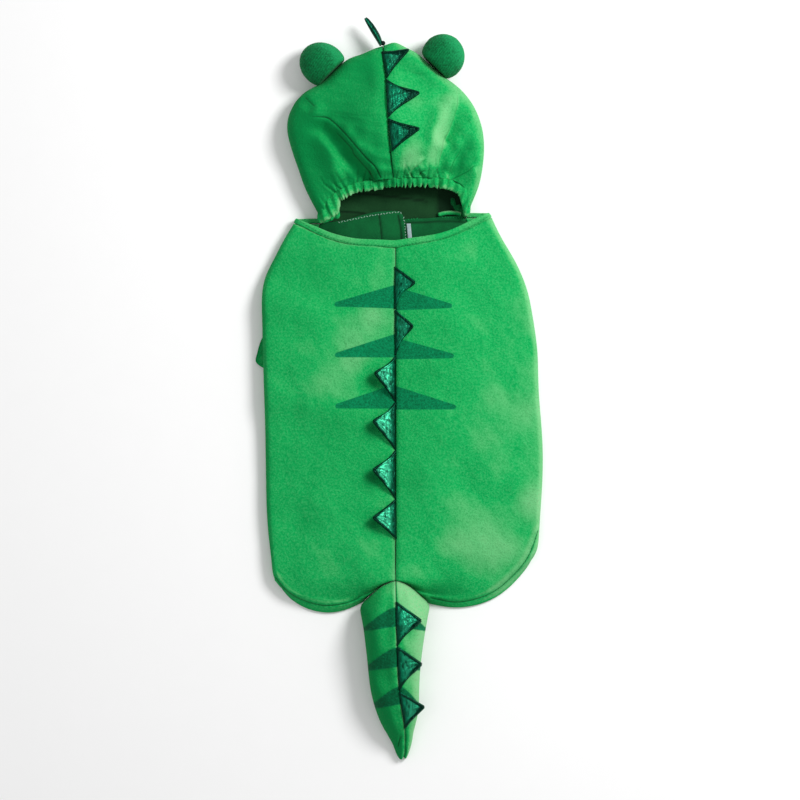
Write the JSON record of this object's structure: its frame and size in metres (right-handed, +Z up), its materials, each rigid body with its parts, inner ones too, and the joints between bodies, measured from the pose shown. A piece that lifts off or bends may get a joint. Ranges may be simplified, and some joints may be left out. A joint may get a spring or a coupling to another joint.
{
  "type": "dog lizard costume",
  "caption": "Two-piece dog costume laid flat: a padded green back coat with chest and belly straps, soft back spikes and a stuffed tail, and a gathered hood with ball eyes.",
  "frame": {"origin": "on the surface that the costume lies on, below the centre of its outline", "axes": "+Y from the tail towards the hood, +X to the right across the coat, +Z up off the surface"},
  "size_m": [0.3031, 0.7757, 0.056],
  "materials": {
    "plush": "short-pile foam-backed plush, mottled",
    "lining": "matt brushed knit lining",
    "foil_cloth": "crinkled metallic-coated cloth",
    "eye_cloth": "ribbed dark plush",
    "label_cloth": "woven satin tape, blank"
  },
  "bodies": {
    "root": {"coat_back_left": "plush", "coat_back_right": "plush", "neck_binding": "plush", "chest_strap_left": "lining", "chest_strap_right": "lining", "label": "label_cloth", "belly_strap": "plush", "tail_left": "plush", "tail_right": "plush", "hood_left": "plush", "hood_right": "plush", "hood_throat": "lining", "hood_casing": "plush", "eye_left": "eye_cloth", "eye_right": "eye_cloth", "hood_spike_1": "foil_cloth", "hood_spike_2": "foil_cloth", "hood_spike_3": "foil_cloth", "hood_spike_4": "foil_cloth", "coat_spike_1": "foil_cloth", "coat_spike_2": "foil_cloth", "coat_spike_3": "foil_cloth", "coat_spike_4": "foil_cloth", "coat_spike_5": "foil_cloth", "coat_spike_6": "foil_cloth", "tail_spike_1": "foil_cloth", "tail_spike_2": "foil_cloth", "tail_spike_3": "foil_cloth"}
  },
  "joints": []
}
